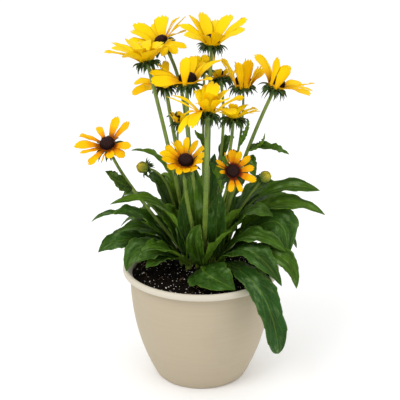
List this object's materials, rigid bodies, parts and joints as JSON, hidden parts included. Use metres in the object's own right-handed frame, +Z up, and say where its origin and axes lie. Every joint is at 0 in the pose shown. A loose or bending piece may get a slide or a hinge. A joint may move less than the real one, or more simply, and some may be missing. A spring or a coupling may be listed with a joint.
{
  "type": "potted rudbeckia",
  "caption": "Potted rudbeckia: yellow daisy-like flowers with dark cones on upright stems over a clump of long green leaves, in a smooth rounded cream pot filled with dark soil.",
  "frame": {"origin": "centre of the pot's underside, on the surface that it stands on", "axes": "+Z up along the pot's axis, -Y towards the front of the plant, +X to its right"},
  "size_m": [0.3059, 0.2497, 0.4559],
  "materials": {
    "pot": "matte",
    "soil": "loose and crumbly",
    "stem": "satin",
    "leaf": "satin",
    "petal": "satin",
    "cone": "matte"
  },
  "bodies": {
    "root": {"pot": "pot", "bloom_09_stem": "stem", "bloom_12_stem": "stem", "bloom_13_stem": "stem", "bloom_11_stem": "stem", "bloom_04_stem": "stem", "bloom_01_stem": "stem", "bloom_08_stem": "stem", "bloom_10_stem": "stem", "bloom_03_stem": "stem", "bloom_05_stem": "stem", "bloom_07_stem": "stem", "bloom_02_stem": "stem", "bloom_15_stem": "stem", "bloom_06_stem": "stem", "bloom_14_stem": "stem", "bud_1_stem": "stem", "bud_2_stem": "stem", "bloom_09_cone": "cone", "bloom_12_cone": "cone", "bloom_13_cone": "cone", "bloom_11_cone": "cone", "bloom_04_cone": "cone", "bloom_01_cone": "cone", "bloom_08_cone": "cone", "bloom_10_cone": "cone", "bloom_03_cone": "cone", "bloom_05_cone": "cone", "bloom_07_cone": "cone", "bloom_02_cone": "cone", "bloom_15_cone": "cone", "bloom_06_cone": "cone", "bloom_14_cone": "cone", "bud_1_petals": "petal", "bud_2_petals": "petal", "bloom_09_petals": "petal", "bloom_12_petals": "petal", "bloom_13_petals": "petal", "bloom_11_petals": "petal", "bloom_04_petals": "petal", "bloom_01_petals": "petal", "bloom_08_petals": "petal", "bloom_10_petals": "petal", "bloom_03_petals": "petal", "bloom_05_petals": "petal", "bloom_07_petals": "petal", "bloom_02_petals": "petal", "bloom_15_petals": "petal", "bloom_06_petals": "petal", "bloom_14_petals": "petal", "shoot_front": "leaf", "shoot_front_right": "leaf", "shoot_right": "leaf", "shoot_back_right": "leaf", "shoot_back": "leaf", "shoot_back_left": "leaf", "shoot_left": "leaf", "shoot_front_left": "leaf", "soil": "soil"}
  },
  "joints": []
}
